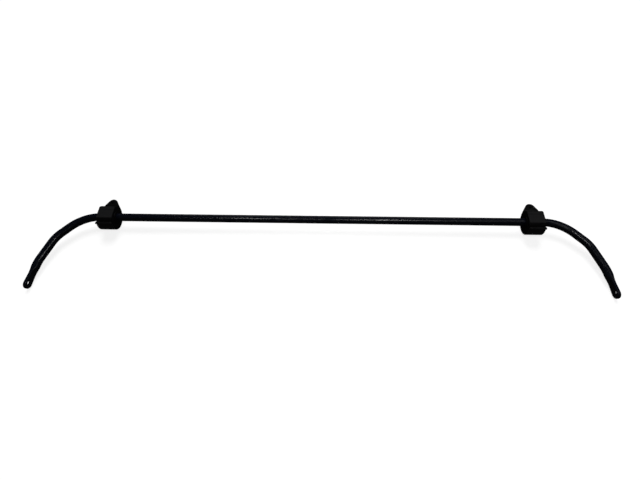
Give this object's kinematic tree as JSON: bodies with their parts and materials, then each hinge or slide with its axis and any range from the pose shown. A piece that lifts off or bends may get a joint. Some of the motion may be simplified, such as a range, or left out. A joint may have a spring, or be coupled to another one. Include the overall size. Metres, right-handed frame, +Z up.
{
  "type": "sway bar",
  "caption": "Slim sway bar bent from round steel with swept arms and flattened, drilled ends, carried in split rubber bushes by steel saddle brackets with a bolt ear.",
  "frame": {"origin": "on the surface that the part lies on, under the middle of its whole box", "axes": "+X along the bar to the right mount, +Y from the arms' ends towards the bar, +Z up out of the surface"},
  "size_m": [1.0574, 0.1881, 0.0415],
  "materials": {
    "bar_paint": "gloss blue-black paint on spring steel",
    "bush_rubber": "matte moulded black rubber",
    "bracket_coat": "satin black electrocoat on pressed steel"
  },
  "bodies": {
    "bar": {"sway_bar": "bar_paint"},
    "left_mount": {"left_bush": "bush_rubber", "left_bracket": "bracket_coat"},
    "right_mount": {"right_bush": "bush_rubber", "right_bracket": "bracket_coat"}
  },
  "joints": [
    {"name": "left_mount_turn", "type": "hinge", "parent": "bar", "child": "left_mount", "pos_m": [-0.407, 0.05378, 0.024], "axis": [1, 0, 0], "continuous": true},
    {"name": "right_mount_turn", "type": "hinge", "parent": "bar", "child": "right_mount", "pos_m": [0.407, 0.05378, 0.024], "axis": [1, 0, 0], "continuous": true}
  ]
}
